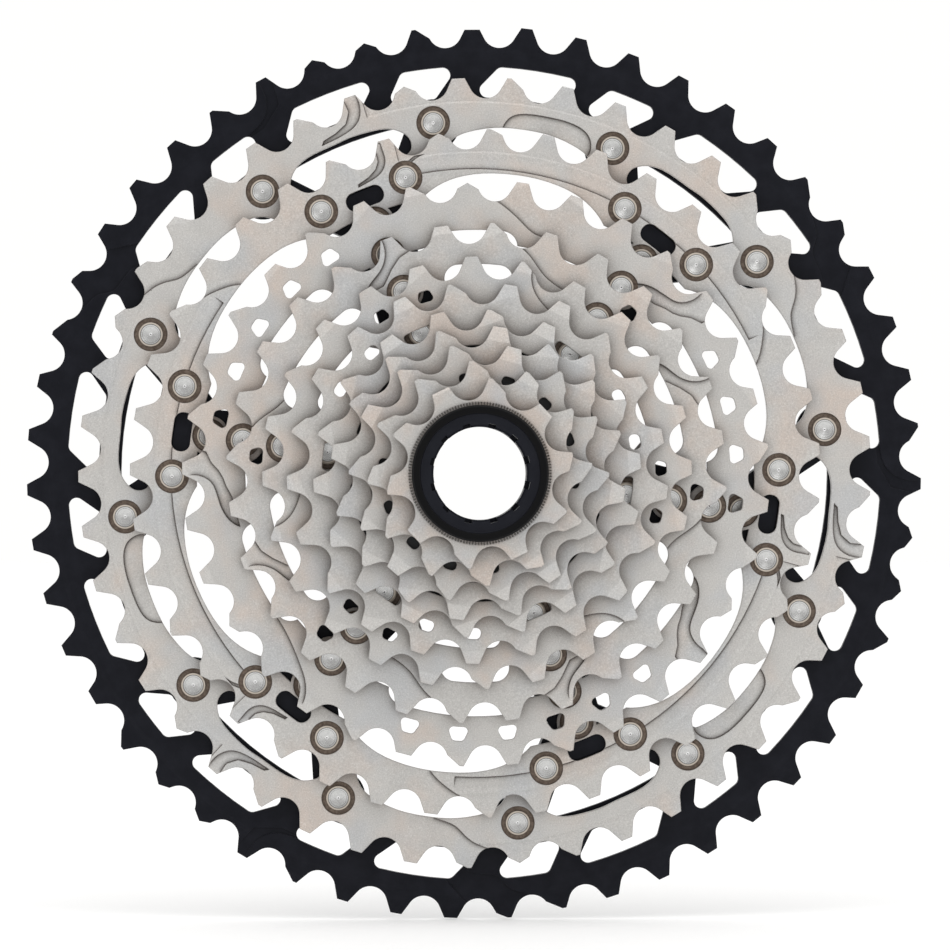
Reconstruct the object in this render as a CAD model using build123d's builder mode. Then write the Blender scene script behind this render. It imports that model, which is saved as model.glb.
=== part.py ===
from build123d import *
import math
import os

# Twelve-speed bicycle cassette, 10 to 51 teeth.
# The row stands like a fitted wheel: +Z up, spin axis along Y, small sprockets towards -Y.
# A station is a distance along -Y from the back seat face of the large carrier's hub.

os.makedirs("parts", exist_ok=True)

# Chain and tooth form
CHAIN_PITCH = 12.7
SEAT_RADIUS = 3.95
TIP_RISE = 1.1
SEAT_HALF_ANGLE = 60

# Stack of sprockets along the axis
SPROCKET_PITCH = 3.6
FIRST_STATION = -5.05
STEEL = 1.6
ALLOY = 1.9

# Freehub fit
BORE_RADIUS = 14.6
GROOVE_RADIUS = 15.25
GROOVE_COUNT = 23
GROOVE_WIDTH = 0.85
BORE_CHAMFER = 0.4
HUB_LENGTH = 9.0
SMALL_HUB_FRONT = 15.75

# Carrier arms and rivets
ARM_START = 52
ARMS = [ARM_START + 60 * k for k in range(6)]
GAPS = [22 + 60 * k for k in range(6)]
RIVET_SHANK = 1.6
RIVET_HEAD = 2.8
RIVET_POCKET = 3.85
RIVET_POCKET_DEPTH = 0.45
RIVETS_45 = [angle + side for angle in ARMS for side in (-15.1, 15.1)]
RIVETS_39 = [angle + side for angle in ARMS for side in (-8.6, 8.6)]
R_RIVETS_45 = 81.9
R_RIVETS_39_OUTER = 70.3
R_RIVETS_39_INNER = 62.3
R_RIVETS_33 = 54.4
R_RIVETS_28 = 45.0
R_RIVETS_24 = 34.6
R_RIVETS_21 = 25.5
PIN_RADIUS = 17.7
PIN_ANGLES = [20, 140, 260]
PIN_HEAD = 2.1
SHANK_PLAY = 0.05
DISH_RADIUS = 2.35
DISH_CURVE = 11
DISH_DEPTH = 0.24

# Lockring
LOCKRING_FLANGE = 15.4
LOCKRING_SHANK = 13.4
LOCKRING_HOLE = 10.5

# How far the leading and trailing corner of a tooth tip sit below the full tip circle.
# A third value is the drop of a peak between them.
TOOTH_DROPS = {
    "N": (0.0, 0.0),
    "n": (0.4, 0.4),
    "S": (0.95, 0.95),
    "F": (2.5, 0.1),
    "f": (1.5, 0.3),
    "L": (3.0, 0.7),
    "P": (2.4, 2.1, 0.9),
}


def polar(radius, angle):
    return (radius * math.cos(math.radians(angle)), radius * math.sin(math.radians(angle)))


def pitch_radius(teeth):
    return CHAIN_PITCH / (2 * math.sin(math.pi / teeth))


def middle(index):
    return FIRST_STATION + SPROCKET_PITCH * index


def front_plane(station):
    return Plane.XZ.offset(station)


def spots(radius, angles):
    return Locations(*[polar(radius, angle) for angle in angles])


def on_flank(start, direction, radius):
    """Point where a straight flank starting inside a circle of this radius reaches it."""
    along = start[0] * direction[0] + start[1] * direction[1]
    inside = start[0] ** 2 + start[1] ** 2 - radius ** 2
    length = -along + math.sqrt(along ** 2 - inside)
    return (start[0] + length * direction[0], start[1] + length * direction[1])


def roller_seat(teeth, angle):
    """Both ends, the bottom and the two flank directions of one chain roller seat."""
    centre = polar(pitch_radius(teeth), angle)
    out = polar(1, angle)
    side = polar(1, angle + 90)
    drop = SEAT_RADIUS * math.cos(math.radians(SEAT_HALF_ANGLE))
    reach = SEAT_RADIUS * math.sin(math.radians(SEAT_HALF_ANGLE))
    rise = math.sin(math.radians(SEAT_HALF_ANGLE))
    lean = math.cos(math.radians(SEAT_HALF_ANGLE))
    low = (centre[0] - drop * out[0] - reach * side[0], centre[1] - drop * out[1] - reach * side[1])
    high = (centre[0] - drop * out[0] + reach * side[0], centre[1] - drop * out[1] + reach * side[1])
    bottom = polar(pitch_radius(teeth) - SEAT_RADIUS, angle)
    low_way = (rise * out[0] - lean * side[0], rise * out[1] - lean * side[1])
    high_way = (rise * out[0] + lean * side[0], rise * out[1] + lean * side[1])
    return low, bottom, high, low_way, high_way


def toothed_disc(teeth, first_tip, pattern):
    """Full outline of a sprocket. The pattern repeats round it, one letter for each tooth."""
    step = 360 / teeth
    tip = pitch_radius(teeth) + TIP_RISE
    with BuildSketch() as outline:
        with BuildLine():
            for k in range(teeth):
                angle = first_tip + k * step
                before = roller_seat(teeth, angle - step / 2)
                after = roller_seat(teeth, angle + step / 2)
                drops = TOOTH_DROPS[pattern[k % len(pattern)]]
                first_drop, last_drop = drops[0], drops[1]
                first = on_flank(before[2], before[4], tip - first_drop)
                last = on_flank(after[0], after[3], tip - last_drop)
                corners = [before[2], first]
                if first_drop - last_drop > 1:
                    shoulder = math.degrees(math.atan2(last[1], last[0])) - 52 / tip
                    corners.append(polar(tip - last_drop, shoulder))
                if len(drops) == 3:
                    corners.append(polar(tip - drops[2], angle))
                corners += [last, after[0]]
                ThreePointArc(before[0], before[1], before[2])
                Polyline(*corners)
        make_face()
    return outline.sketch


def window(inner, outer, inner_ends, outer_ends, corner):
    """Opening between two circles; the ends may slant. All angles in degrees."""
    with BuildSketch() as opening:
        with BuildLine():
            CenterArc((0, 0), inner, inner_ends[0], inner_ends[1] - inner_ends[0])
            CenterArc((0, 0), outer, outer_ends[0], outer_ends[1] - outer_ends[0])
            Line(polar(inner, inner_ends[0]), polar(outer, outer_ends[0]))
            Line(polar(inner, inner_ends[1]), polar(outer, outer_ends[1]))
        make_face()
        fillet(opening.vertices(), corner)
    return opening.sketch


def span(inner, outer, start, end, corner):
    return window(inner, outer, (start, end), (start, end), corner)


def joined_circles(*circles):
    """Hull of circles given as (distance from the spin axis, angle, radius)."""
    with BuildSketch() as hull:
        for distance, angle, radius in circles:
            with Locations(polar(distance, angle)):
                Circle(radius)
        make_hull(hull.edges())
    return hull.sketch


def pocket_outline(points):
    """Closed smooth outline through (radius, angle) points."""
    with BuildSketch() as outline:
        with BuildLine():
            Spline(*[polar(radius, angle) for radius, angle in points], periodic=True)
        make_face()
    return outline.sketch


def stepped_outline(line, back):
    """Outline with one smooth side and straight sides back to its start."""
    smooth = [polar(radius, angle) for radius, angle in line]
    rest = [smooth[-1]] + [polar(radius, angle) for radius, angle in back] + [smooth[0]]
    with BuildSketch() as outline:
        with BuildLine():
            Spline(*smooth)
            Polyline(*rest)
        make_face()
    return outline.sketch


def tip_planes(teeth, first_tip, front, chosen, height, tilt, slant):
    """Tilted planes, one for each chosen tooth, that bevel its tip on the front face."""
    planes = []
    tip = pitch_radius(teeth) + TIP_RISE
    for k in chosen:
        angle = math.radians(first_tip + k * 360 / teeth)
        lean = angle + math.radians(slant)
        sink = math.radians(tilt)
        base = tip - height
        origin = (base * math.cos(angle), -front, base * math.sin(angle))
        across = (math.sin(lean), 0, -math.cos(lean))
        normal = (math.cos(lean) * math.sin(sink), -math.cos(sink), math.sin(lean) * math.sin(sink))
        planes.append(Plane(origin=origin, x_dir=across, z_dir=normal))
    return planes


def ramp_plane(front, hinge, radius, depth, reach):
    """Plane that meets the front face along a radial hinge and sinks towards larger angles."""
    angle = math.radians(hinge)
    sink = math.atan2(depth, reach)
    origin = (radius * math.cos(angle), -front, radius * math.sin(angle))
    out = (math.cos(angle), 0, math.sin(angle))
    normal = (-math.sin(angle) * math.sin(sink), -math.cos(sink), math.cos(angle) * math.sin(sink))
    return Plane(origin=origin, x_dir=out, z_dir=normal)


def turned(points, turn):
    return [(radius, angle + turn) for radius, angle in points]


def lens(centre, half):
    """Smooth opening mirrored about its centre angle; half runs from its top to its bottom."""
    other = [(radius, -off) for radius, off in reversed(half) if off]
    return pocket_outline(turned(half + other, centre))


def cut_ramp(front, hinge, reach, depth, line, inner, outer):
    """Sink the front face between a sloping facet at the hinge angle and a smooth step line."""
    out = polar(1, hinge)
    side = polar(1, hinge + 90)
    ends = [(out[0] * r + side[0] * reach, out[1] * r + side[1] * reach) for r in (outer, inner)]
    smooth = [polar(radius, angle) for radius, angle in line]
    with BuildSketch(front_plane(front)) as sunk:
        with BuildLine():
            Spline(*smooth)
            Polyline(smooth[-1], polar(outer, line[-1][1]), ends[0], ends[1], smooth[0])
        make_face()
    extrude(to_extrude=sunk.sketch, amount=-depth, mode=Mode.SUBTRACT)
    with BuildSketch(ramp_plane(front, hinge, inner, depth, reach)) as facet:
        Rectangle(outer - inner, math.hypot(reach, depth), align=(Align.MIN, Align.MIN))
    extrude(to_extrude=facet.sketch, amount=1.5, mode=Mode.SUBTRACT)


def radial_section(angle):
    """Plane whose local x is the radius at this angle and local y a station."""
    turn = math.radians(angle)
    return Plane(origin=(0, 0, 0), x_dir=(math.cos(turn), 0, math.sin(turn)),
                 z_dir=(math.sin(turn), 0, -math.cos(turn)))


def spline_grooves():
    """Grooves of the freehub fit as a flat pattern."""
    with BuildSketch() as grooves:
        middle_radius = (BORE_RADIUS + GROOVE_RADIUS) / 2
        with PolarLocations(middle_radius, GROOVE_COUNT):
            Rectangle(GROOVE_RADIUS - BORE_RADIUS + 0.6, GROOVE_WIDTH)
    return grooves.sketch


def bore_profile(back, front):
    """Half section of a bore with a chamfer at both ends, in the (X, station) plane."""
    wide = BORE_RADIUS + BORE_CHAMFER
    with BuildSketch() as section:
        with BuildLine():
            Polyline((0, back - 0.01), (wide, back - 0.01), (BORE_RADIUS, back + BORE_CHAMFER),
                     (BORE_RADIUS, front - BORE_CHAMFER), (wide, front + 0.01), (0, front + 0.01),
                     (0, back - 0.01))
        make_face()
    return section.sketch


# Plane whose local x is a radius and local y a station
SECTION = Plane(origin=(0, 0, 0), x_dir=(1, 0, 0), z_dir=(0, 0, -1))


def tip_wear(teeth, front):
    """Half section removed from the tooth tips."""
    tip = pitch_radius(teeth) + TIP_RISE
    with BuildSketch() as section:
        with BuildLine():
            Polyline((tip - 1.9, front), (tip + 0.2, front - 0.42), (tip + 0.2, front + 0.5),
                     (tip - 1.9, front + 0.5), (tip - 1.9, front))
        make_face()
    return section.sketch


def crease_relief(teeth, crease, front):
    """Half section removed outside a crease circle, so the teeth stand a little back."""
    tip = pitch_radius(teeth) + TIP_RISE
    with BuildSketch() as section:
        with BuildLine():
            Polyline((crease, front), (crease + 0.45, front - 0.18), (tip + 0.2, front - 0.2),
                     (tip + 0.2, front + 0.5), (crease, front + 0.5), (crease, front))
        make_face()
    return section.sketch


def band_relief(outer, inner, front):
    """Half section of a band that sinks towards a small wall at its inner circle."""
    with BuildSketch() as section:
        with BuildLine():
            Polyline((outer, front), (outer, front + 0.5), (inner, front + 0.5),
                     (inner, front - 0.35), (outer, front))
        make_face()
    return section.sketch


# ---------------------------------------------------------------- 51 teeth, black alloy
back_51 = middle(0) - ALLOY / 2
front_51 = middle(0) + ALLOY / 2
with BuildPart() as sprocket_51t:
    with BuildSketch(front_plane(back_51)):
        add(toothed_disc(51, 5.68, "FNNnfLnNNNNNSFPPN"))
        Circle(82.3, mode=Mode.SUBTRACT)
        with spots(R_RIVETS_45, RIVETS_45):
            Circle(6.3)
        with spots(R_RIVETS_45, RIVETS_45):
            Circle(RIVET_SHANK, mode=Mode.SUBTRACT)
    extrude(amount=ALLOY)
    with BuildSketch(front_plane(back_51)):
        for k in range(12):
            turn = 30 * k
            add(window(87.5, 94.8, (6.1 + turn, 13.8 + turn), (2.4 + turn, 10.5 + turn), 1.8))
            add(window(87.5, 94.8, (18.2 + turn, 30.9 + turn), (14.1 + turn, 26.6 + turn), 1.8))
    extrude(amount=ALLOY, mode=Mode.SUBTRACT)
    with BuildSketch(SECTION):
        with BuildLine():
            Polyline((98.0, front_51), (99.0, front_51 - 0.15), (102.2, front_51 - 0.18),
                     (104.4, front_51 - 0.55), (104.4, front_51 + 1), (98.0, front_51 + 1),
                     (98.0, front_51))
        make_face()
    revolve(axis=Axis.Y, mode=Mode.SUBTRACT)
    for turn in (0, 120, 240):
        with BuildSketch(front_plane(front_51)):
            add(stepped_outline(turned([(92.2, 28.4), (93.4, 31), (94.4, 33.4), (96.8, 34.6),
                                        (98.9, 37.2), (104.6, 38.2)], turn),
                                turned([(104.6, 31), (92.2, 24)], turn)))
            add(stepped_outline(turned([(104.6, 119.2), (99, 119.4), (96.4, 120.5), (94.9, 122.6),
                                        (94.6, 125)], turn),
                                turned([(93.8, 125), (94, 121.4), (97.2, 118), (104.6, 117.2)],
                                       turn)))
        extrude(amount=-0.5, mode=Mode.SUBTRACT)
sprocket_51t.part.label = "sprocket_51t"
export_step(sprocket_51t.part, "parts/sprocket_51t.step")

# ---------------------------------------------------------------- 45 teeth, steel
back_45 = middle(1) - STEEL / 2 + 0.05
front_45 = middle(1) + STEEL / 2
LINE_45 = [(80.4, 22.4), (81.2, 25), (82.2, 26.8), (84.6, 28.6), (86.6, 30.8), (87.8, 33.4)]
HOOK_45 = [(92.4, 107.8), (88.4, 107.6), (85.8, 108.6), (84.4, 110.6), (83.9, 113), (83.8, 115.2)]
GAP_45 = [(80.6, 0), (80.4, 4.5), (79.5, 8.5), (77.8, 11.8), (75, 13.6), (70, 14), (65, 12), (63, 0)]
SLOT_45 = [(83, 0), (82.95, 5), (82.4, 7.8), (80.9, 9.8), (78.6, 10.9), (76.4, 10.6), (75.3, 8),
           (75.1, 0)]
with BuildPart() as sprocket_45t:
    with BuildSketch(front_plane(back_45)):
        add(toothed_disc(45, 4.5, "NNnfPFNNNNFnPNF"))
        Circle(70.9, mode=Mode.SUBTRACT)
        for angle in GAPS:
            add(lens(angle, GAP_45), mode=Mode.SUBTRACT)
        for angle in ARMS:
            add(lens(angle, SLOT_45), mode=Mode.SUBTRACT)
        with spots(R_RIVETS_39_OUTER, RIVETS_39):
            Circle(3.5, mode=Mode.SUBTRACT)
        with spots(R_RIVETS_45, RIVETS_45):
            Circle(RIVET_SHANK, mode=Mode.SUBTRACT)
    extrude(amount=STEEL - 0.05)
    with BuildSketch(SECTION):
        add(tip_wear(45, front_45))
    revolve(axis=Axis.Y, mode=Mode.SUBTRACT)
    for turn in (0, 120, 240):
        with BuildSketch(radial_section(107 + turn)):
            add(crease_relief(45, 86.0, front_45))
        revolve(axis=Axis.Y, revolution_arc=76.4, mode=Mode.SUBTRACT)
    with BuildSketch(*tip_planes(45, 4.5, front_45, [2, 17, 32], 2.6, 18, -24)):
        Rectangle(9, 6, align=(Align.CENTER, Align.MIN))
    extrude(amount=1.5, mode=Mode.SUBTRACT)
    for turn in (0, 120, 240):
        cut_ramp(front_45, 18.9 + turn, 4.6, 0.55, turned(LINE_45, turn), 77, 94)
        with BuildSketch(front_plane(front_45)):
            add(stepped_outline(turned(HOOK_45, turn),
                                turned([(84.7, 114.6), (85.2, 112.4), (86.4, 110.4), (88.8, 109.4),
                                        (92.4, 109.6)], turn)))
            add(stepped_outline(turned([(87.2, 103), (86.6, 105), (85, 107), (83.3, 108.8)], turn),
                                turned([(83.3, 109.6), (85.4, 107.8), (87.2, 105.4)], turn)))
            add(pocket_outline(turned([(80, 70.4), (83, 71.8), (84.2, 74.4), (84.4, 78.2), (84.2, 82),
                                       (83, 84.4), (80, 85.6), (78, 78)], turn)))
        extrude(amount=-0.45, mode=Mode.SUBTRACT)
    with BuildSketch(front_plane(front_45 + 0.5)):
        with spots(R_RIVETS_45, RIVETS_45):
            Circle(RIVET_POCKET)
    extrude(amount=-(RIVET_POCKET_DEPTH + 0.5), mode=Mode.SUBTRACT)
sprocket_45t.part.label = "sprocket_45t"
export_step(sprocket_45t.part, "parts/sprocket_45t.step")

# ---------------------------------------------------------------- 39 teeth, steel
back_39 = middle(2) - STEEL / 2
front_39 = middle(2) + STEEL / 2
LINE_39 = [(69.8, 21.4), (71.2, 22.6), (72.8, 24.4), (74.2, 26.2), (75.4, 28)]
HOOK_39 = [(79.6, 106.2), (77.5, 106.1), (75.2, 106.2), (73.2, 107.2), (71.9, 109.6), (71.4, 112.4)]
GAP_39 = [(69.7, 0), (69.4, 7), (68.5, 12), (67.1, 15.6), (65.5, 18.2), (63.4, 20.6), (60.5, 22.5),
          (56.5, 21), (55, 0)]
with BuildPart() as sprocket_39t:
    with BuildSketch(front_plane(back_39)):
        add(toothed_disc(39, 4.0, "NNnFNNNNNfPNF"))
        Circle(64.6, mode=Mode.SUBTRACT)
        for angle in GAPS:
            add(lens(angle, GAP_39), mode=Mode.SUBTRACT)
        with spots(R_RIVETS_39_INNER, ARMS):
            Circle(4.6)
        for angle in ARMS:
            add(window(66.5, 70.8, (angle - 4, angle + 4), (angle - 3.6, angle + 3.6), 2.0),
                mode=Mode.SUBTRACT)
        with spots(R_RIVETS_39_INNER, ARMS):
            Circle(RIVET_SHANK, mode=Mode.SUBTRACT)
        with spots(R_RIVETS_39_OUTER, RIVETS_39):
            Circle(RIVET_SHANK, mode=Mode.SUBTRACT)
    extrude(amount=STEEL)
    with BuildSketch(SECTION):
        add(tip_wear(39, front_39))
    revolve(axis=Axis.Y, mode=Mode.SUBTRACT)
    for turn in (0, 120, 240):
        with BuildSketch(radial_section(104 + turn)):
            add(crease_relief(39, 74.1, front_39))
            add(band_relief(73.0, 70.4, front_39))
        revolve(axis=Axis.Y, revolution_arc=78, mode=Mode.SUBTRACT)
    with BuildSketch(*tip_planes(39, 4.0, front_39, [3, 16, 29], 2.8, 18, -24)):
        Rectangle(9, 6, align=(Align.CENTER, Align.MIN))
    extrude(amount=1.5, mode=Mode.SUBTRACT)
    for turn in (0, 120, 240):
        cut_ramp(front_39, 11 + turn, 4.4, 0.55, turned(LINE_39, turn), 67, 82)
        with BuildSketch(front_plane(front_39)):
            add(stepped_outline(turned(HOOK_39, turn),
                                turned([(72.1, 112.2), (72.8, 109.9), (74, 108.3), (75.5, 107.5),
                                        (77.5, 107.4), (79.6, 107.8)], turn)))
            add(stepped_outline(turned([(74.8, 98.6), (74.2, 100.6), (72.4, 103), (70.6, 105.4)],
                                       turn),
                                turned([(70.6, 106.4), (72.8, 104), (74.8, 101)], turn)))
        extrude(amount=-0.45, mode=Mode.SUBTRACT)
    with BuildSketch(front_plane(front_39 + 0.5)):
        with spots(R_RIVETS_39_INNER, ARMS):
            Circle(RIVET_POCKET)
        with spots(R_RIVETS_39_OUTER, RIVETS_39):
            Circle(RIVET_POCKET)
    extrude(amount=-(RIVET_POCKET_DEPTH + 0.5), mode=Mode.SUBTRACT)
sprocket_39t.part.label = "sprocket_39t"
export_step(sprocket_39t.part, "parts/sprocket_39t.step")

# ---------------------------------------------------------------- 33 teeth, steel
back_33 = middle(3) - STEEL / 2
front_33 = middle(3) + STEEL / 2
WINDOWS_33 = [(0, 43), (77, 103), (126, 158), (190, 222), (245, 284), (305, 339)]
HOLES_33 = [0, 1, 2, 11, 12, 13, 14, 15, 23, 24, 25, 26, 27, 28, 32]
with BuildPart() as sprocket_33t:
    with BuildSketch(front_plane(back_33)):
        add(toothed_disc(33, 4.5, "FSFNFNNNPFN"))
        Circle(53.3, mode=Mode.SUBTRACT)
        with spots(R_RIVETS_33, ARMS):
            Circle(5.2)
        for start, end in WINDOWS_33:
            add(window(47, 56.2, (start + 5, end - 5), (start + 1, end - 1), 3.5),
                mode=Mode.SUBTRACT)
        for k in HOLES_33:
            angle = 4.2 + k * 360 / 33
            add(window(58.7, 62.0, (angle - 2.6, angle + 2.6), (angle - 1.2, angle + 1.2), 1.0),
                mode=Mode.SUBTRACT)
        with spots(R_RIVETS_33, ARMS):
            Circle(RIVET_SHANK, mode=Mode.SUBTRACT)
    extrude(amount=STEEL)
    straight = [k for k in range(33) if k % 3 == 0]
    slanted = [k for k in range(33) if k % 3 == 1]
    with BuildSketch(*tip_planes(33, 4.5, front_33, straight, 2.4, 20, 0)):
        Rectangle(9, 6, align=(Align.CENTER, Align.MIN))
    extrude(amount=1.5, mode=Mode.SUBTRACT)
    with BuildSketch(*tip_planes(33, 4.5, front_33, slanted, 2.6, 18, 24)):
        Rectangle(9, 6, align=(Align.CENTER, Align.MIN))
    extrude(amount=1.5, mode=Mode.SUBTRACT)
    for turn in (0, 141.82, 283.64):
        with BuildSketch(front_plane(front_33)):
            add(stepped_outline(turned([(66, 38.6), (63, 39), (61.2, 40.2), (60, 43), (59.2, 46.4),
                                        (58.2, 48.6), (55.8, 51)], turn),
                                turned([(56.6, 43.6), (57.8, 41), (58.4, 39.2), (59.4, 37.6),
                                        (61.2, 35.8), (62.5, 33.6), (69.5, 33), (69.5, 38.2)],
                                       turn)))
        extrude(amount=-0.5, mode=Mode.SUBTRACT)
    cut_ramp(front_33, 67.4, 4.8, 0.5, [(56.6, 74), (57.2, 77.4), (58.8, 79.8), (61, 82.8),
                                        (62.8, 85.6)], 52, 70)
    cut_ramp(front_33, 210, 4.8, 0.5, [(56.7, 215.8), (57.1, 219.5), (58.2, 223.4), (59.8, 227),
                                       (61.8, 230.2), (64.2, 232.2), (68.4, 233)], 52, 70)
    with BuildSketch(front_plane(front_33 + 0.5)):
        with spots(R_RIVETS_33, ARMS):
            Circle(RIVET_POCKET)
    extrude(amount=-(RIVET_POCKET_DEPTH + 0.5), mode=Mode.SUBTRACT)
sprocket_33t.part.label = "sprocket_33t"
export_step(sprocket_33t.part, "parts/sprocket_33t.step")

# ---------------------------------------------------------------- 28 teeth, steel
back_28 = middle(4) - STEEL / 2
front_28 = middle(4) + STEEL / 2
WINDOWS_28 = [(3, 42), (77, 102), (123, 163), (183, 222), (257, 282), (303, 342)]
with BuildPart() as sprocket_28t:
    with BuildSketch(front_plane(back_28)):
        add(toothed_disc(28, 8.3, "nNFNNNF"))
        Circle(44.2, mode=Mode.SUBTRACT)
        with spots(R_RIVETS_28, ARMS):
            Circle(4.6)
        for start, end in WINDOWS_28:
            add(window(37.5, 48.2, (start + 6, end - 6), (start + 1, end - 1), 3.2),
                mode=Mode.SUBTRACT)
        for angle in (46.5, 175.5, 226.5, 355):
            add(window(49.4, 52.4, (angle - 2.7, angle + 2.7), (angle - 1.4, angle + 1.4), 1.0),
                mode=Mode.SUBTRACT)
        with spots(R_RIVETS_28, ARMS):
            Circle(RIVET_SHANK, mode=Mode.SUBTRACT)
    extrude(amount=STEEL)
    straight = [k for k in range(28) if k % 4 == 3]
    slanted = [k for k in range(28) if k % 4 == 2]
    with BuildSketch(*tip_planes(28, 8.3, front_28, straight, 2.4, 20, 0)):
        Rectangle(9, 6, align=(Align.CENTER, Align.MIN))
    extrude(amount=1.5, mode=Mode.SUBTRACT)
    with BuildSketch(*tip_planes(28, 8.3, front_28, slanted, 2.8, 18, 24)):
        Rectangle(9, 6, align=(Align.CENTER, Align.MIN))
    extrude(amount=1.5, mode=Mode.SUBTRACT)
    for turn in (0, 90, 180, 270):
        with BuildSketch(front_plane(front_28)):
            add(stepped_outline(turned([(58.4, 22.4), (55.4, 22.5), (53, 23.8), (51.3, 26),
                                        (50.1, 29), (48, 32.2)], turn),
                                turned([(48, 26.4), (50.8, 22.6), (52.6, 19.8), (53.4, 16.8),
                                        (53.4, 14.8), (60, 15), (60, 22.4)], turn)))
        extrude(amount=-0.5, mode=Mode.SUBTRACT)
        cut_ramp(front_28, 56.6 + turn, 5.2, 0.5,
                 turned([(46.4, 63.6), (46.9, 67.6), (48, 71.2), (50.2, 74.6), (52.6, 78.4)], turn),
                 42, 60.5)
    with BuildSketch(front_plane(front_28 + 0.5)):
        with spots(R_RIVETS_28, ARMS):
            Circle(RIVET_POCKET)
    extrude(amount=-(RIVET_POCKET_DEPTH + 0.5), mode=Mode.SUBTRACT)
sprocket_28t.part.label = "sprocket_28t"
export_step(sprocket_28t.part, "parts/sprocket_28t.step")

# ---------------------------------------------------------------- 24 teeth, steel
back_24 = middle(5) - STEEL / 2
front_24 = middle(5) + STEEL / 2
with BuildPart() as sprocket_24t:
    with BuildSketch(front_plane(back_24)):
        add(toothed_disc(24, 1.5, "nNFNnFNn"))
        Circle(30.6, mode=Mode.SUBTRACT)
        for start in (14, 134, 254):
            add(window(33.2, 40.2, (start - 10.5, start + 24), (start - 1, start + 24), 2.2),
                mode=Mode.SUBTRACT)
        for start in (73, 193, 313):
            add(window(33.2, 38, (start, start + 20), (start, start + 20), 2),
                mode=Mode.SUBTRACT)
        for angle in (1.5, 106.5, 121.5, 226.5, 241.5, 346.5):
            add(window(40.9, 43.5, (angle - 2.9, angle + 2.9), (angle - 1.7, angle + 1.7), 0.9),
                mode=Mode.SUBTRACT)
        with spots(R_RIVETS_24, ARMS):
            Circle(RIVET_SHANK, mode=Mode.SUBTRACT)
    extrude(amount=STEEL)
    straight = [k for k in range(24) if k % 4 == 1]
    slanted = [k for k in range(24) if k % 4 == 3]
    with BuildSketch(*tip_planes(24, 1.5, front_24, straight, 2.6, 20, 0)):
        Rectangle(9, 6, align=(Align.CENTER, Align.MIN))
    extrude(amount=1.5, mode=Mode.SUBTRACT)
    with BuildSketch(*tip_planes(24, 1.5, front_24, slanted, 2.8, 18, 24)):
        Rectangle(9, 6, align=(Align.CENTER, Align.MIN))
    extrude(amount=1.5, mode=Mode.SUBTRACT)
    for turn in (0, 120, 240):
        cut_ramp(front_24, 55.5 + turn, 3.4, 0.45,
                 turned([(39.9, 61), (40.4, 65), (41.6, 69), (43.2, 72), (45.2, 73.9),
                         (47.6, 74.8)], turn), 37, 52)
    with BuildSketch(front_plane(front_24 + 0.5)):
        with spots(R_RIVETS_24, ARMS):
            Circle(RIVET_POCKET)
    extrude(amount=-(RIVET_POCKET_DEPTH + 0.5), mode=Mode.SUBTRACT)
sprocket_24t.part.label = "sprocket_24t"
export_step(sprocket_24t.part, "parts/sprocket_24t.step")

# ---------------------------------------------------------------- 21 teeth, steel
back_21 = middle(6) - STEEL / 2
front_21 = middle(6) + STEEL / 2
with BuildPart() as sprocket_21t:
    with BuildSketch(front_plane(back_21)):
        add(toothed_disc(21, 11.4, "nNFNNFN"))
        Circle(20.4, mode=Mode.SUBTRACT)
        for angle in ARMS:
            add(window(30.6, 35.6, (angle - 7.6, angle + 7.6), (angle - 6.8, angle + 6.8), 0.9),
                mode=Mode.SUBTRACT)
        for angle in (11.3, 28.4, 131.3, 148.4, 251.3, 268.4):
            add(window(35.4, 38.0, (angle - 3.1, angle + 3.1), (angle - 2.4, angle + 2.4), 1.1),
                mode=Mode.SUBTRACT)
        with spots(R_RIVETS_21, ARMS):
            Circle(RIVET_SHANK, mode=Mode.SUBTRACT)
    extrude(amount=STEEL)
    straight = [k for k in range(21) if k % 3 == 0]
    slanted = [k for k in range(21) if k % 3 == 1]
    with BuildSketch(*tip_planes(21, 11.4, front_21, straight, 3.0, 20, 0)):
        Rectangle(9, 6, align=(Align.CENTER, Align.MIN))
    extrude(amount=1.5, mode=Mode.SUBTRACT)
    with BuildSketch(*tip_planes(21, 11.4, front_21, slanted, 3.0, 18, 26)):
        Rectangle(9, 6, align=(Align.CENTER, Align.MIN))
    extrude(amount=1.5, mode=Mode.SUBTRACT)
    with BuildSketch(front_plane(front_21 + 0.5)):
        with spots(R_RIVETS_21, ARMS):
            Circle(RIVET_POCKET)
    extrude(amount=-(RIVET_POCKET_DEPTH + 0.5), mode=Mode.SUBTRACT)
sprocket_21t.part.label = "sprocket_21t"
export_step(sprocket_21t.part, "parts/sprocket_21t.step")


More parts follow.
